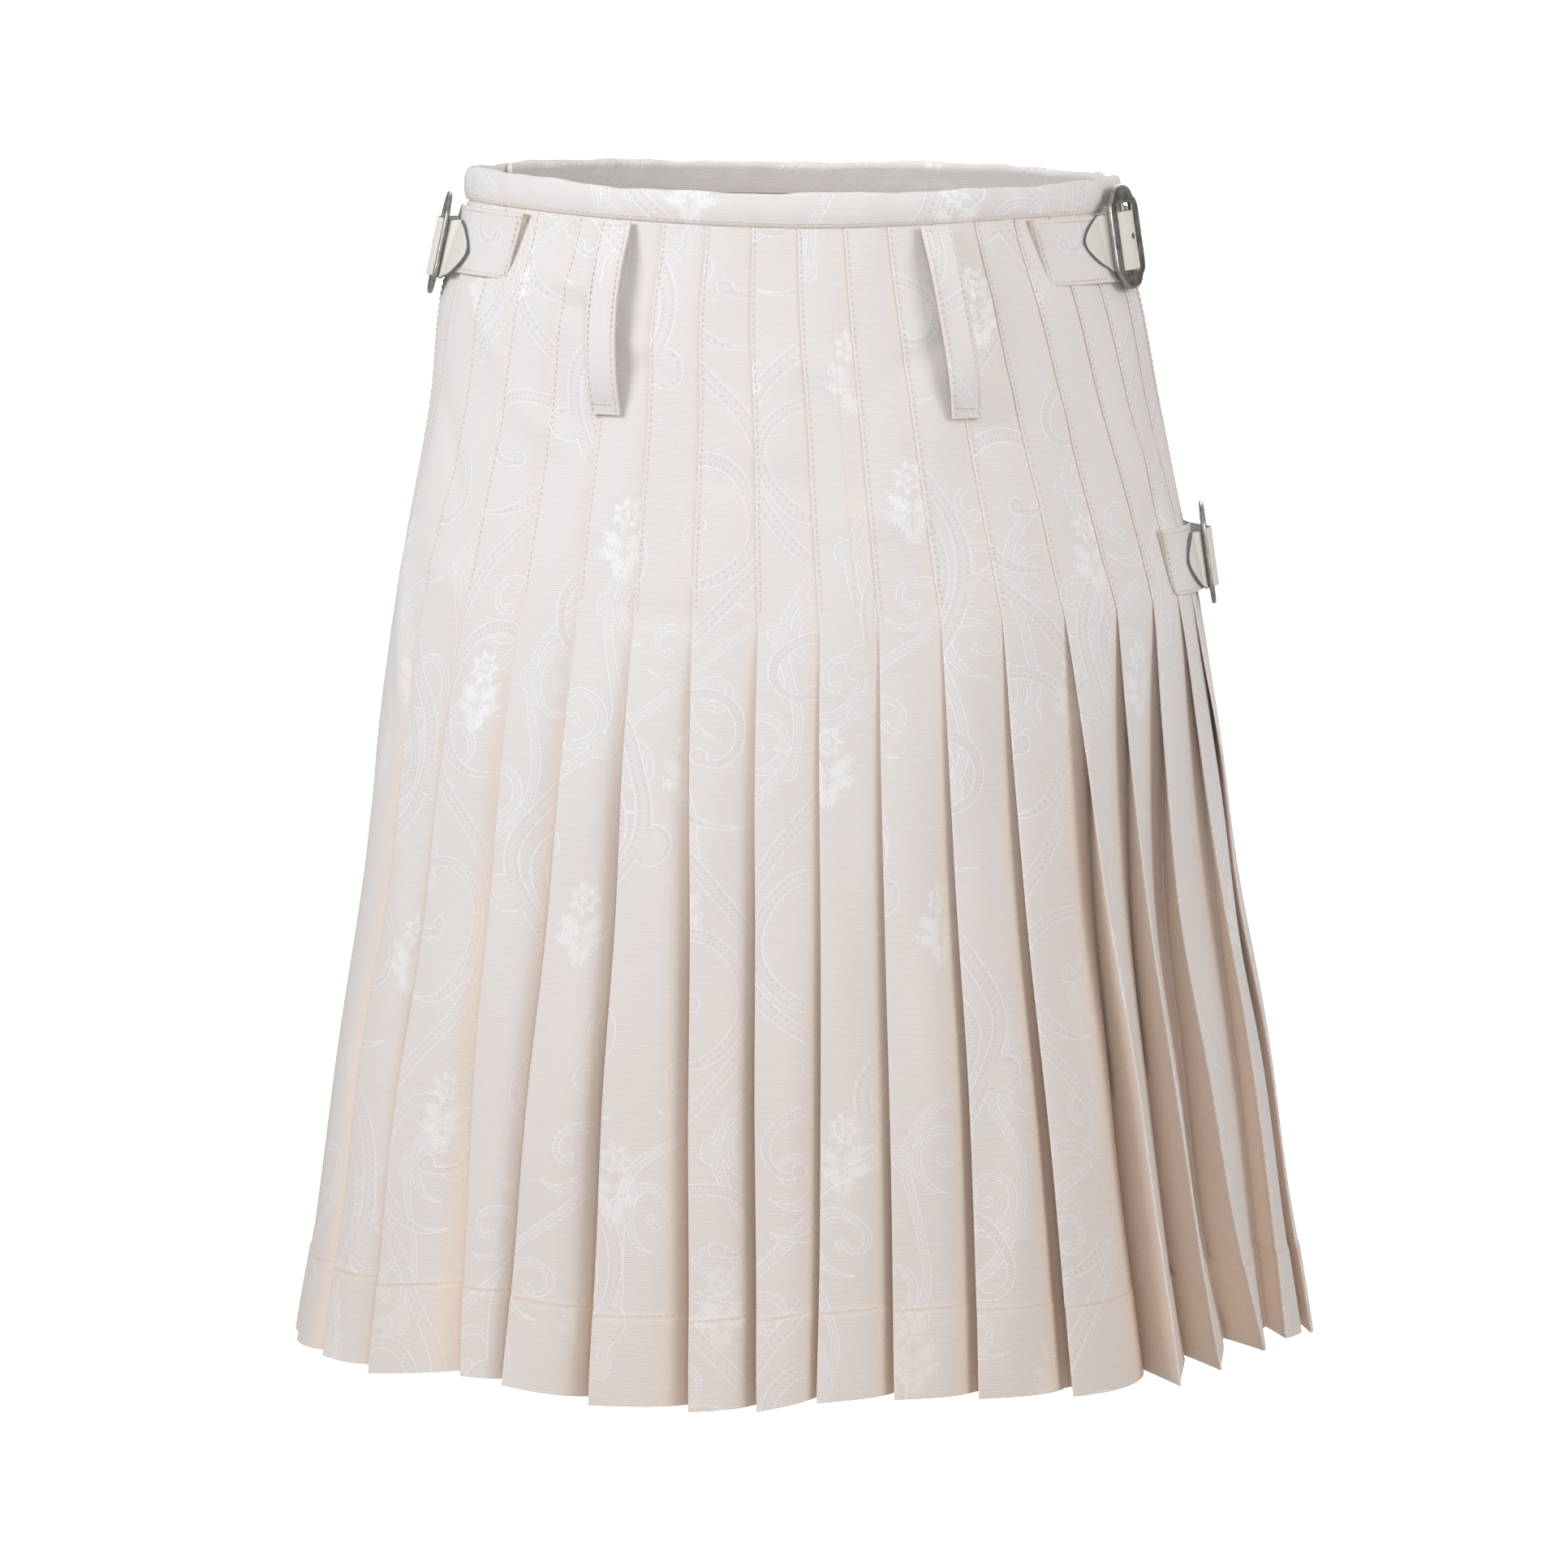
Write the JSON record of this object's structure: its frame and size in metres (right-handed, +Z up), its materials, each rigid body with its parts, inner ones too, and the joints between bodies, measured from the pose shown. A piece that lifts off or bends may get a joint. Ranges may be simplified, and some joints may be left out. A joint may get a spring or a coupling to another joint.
{
  "type": "kilt",
  "caption": "Knee-length pleated kilt of pale brocade in its hollow worn form, closed at waist and hip by buckled leather straps.",
  "frame": {"origin": "middle of the waist at half the height of the waistband, where the wearer's waist holds the kilt", "axes": "+Z up, +Y to the wearer's front, +X to the wearer's right; the pleats are at the back, towards -Y"},
  "size_m": [0.5027, 0.3568, 0.5818],
  "materials": {
    "brocade": "ivory woven brocade with fine crossways ribs and a scroll figure",
    "leather": "smooth cream leather with dark blue-grey cut edges",
    "pewter": "antiqued grey cast metal with worn bright edges"
  },
  "bodies": {
    "root": {"waistband": "brocade", "pleats_left": "brocade", "pleats_right": "brocade", "over_apron": "brocade", "under_apron": "brocade", "belt_loop_left": "brocade", "belt_loop_right": "brocade", "tab_waist_left": "brocade", "tab_waist_right": "brocade", "tab_hip_right": "brocade", "strap_waist_left": "leather", "strap_waist_right": "leather", "strap_hip_right": "leather", "buckle_waist_left": "pewter", "buckle_waist_right": "pewter", "buckle_hip_right": "pewter"}
  },
  "joints": []
}
